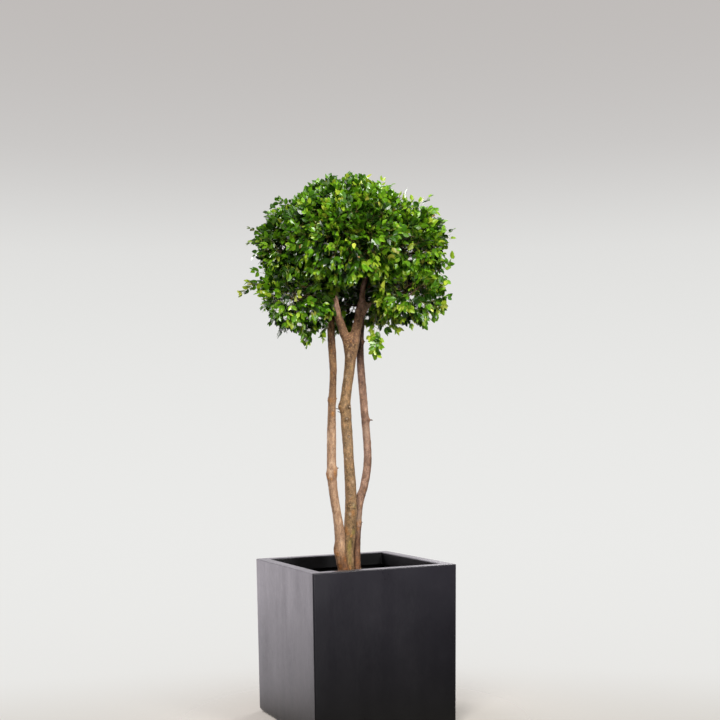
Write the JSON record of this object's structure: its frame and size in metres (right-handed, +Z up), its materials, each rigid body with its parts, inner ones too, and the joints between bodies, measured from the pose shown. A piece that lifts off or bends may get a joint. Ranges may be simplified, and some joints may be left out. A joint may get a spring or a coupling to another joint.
{
  "type": "multi-stem lollipop topiary in a square planter",
  "caption": "Standard shrub with a round, lightly clipped head of small glossy leaves on clear stems from one clump, planted in a square planter.",
  "frame": {"origin": "middle of the planter's flat underside", "axes": "+Z up along the plant, planter sides along X and Y; the clear stems stand side by side in a plane turned 25.4 degrees clockwise from X, seen from above"},
  "size_m": [0.68, 0.6369, 1.8085],
  "materials": {
    "pot_finish": "satin",
    "compost": "matte",
    "bark_tan": "matte",
    "bark_olive": "matte",
    "bark_red": "matte",
    "bark_brown": "matte",
    "leaf": "gloss"
  },
  "bodies": {
    "root": {"pot": "pot_finish", "compost": "compost", "stem_left": "bark_tan", "stem_middle": "bark_olive", "stem_right": "bark_red", "bough_fork_left": "bark_brown", "bough_fork_right": "bark_brown", "bough_upper": "bark_brown", "bough_side": "bark_brown", "foliage_lower_left": "leaf", "foliage_lower_right": "leaf", "foliage_lower_back": "leaf", "foliage_front": "leaf", "foliage_left": "leaf", "foliage_right": "leaf", "foliage_back": "leaf", "foliage_top": "leaf"}
  },
  "joints": []
}
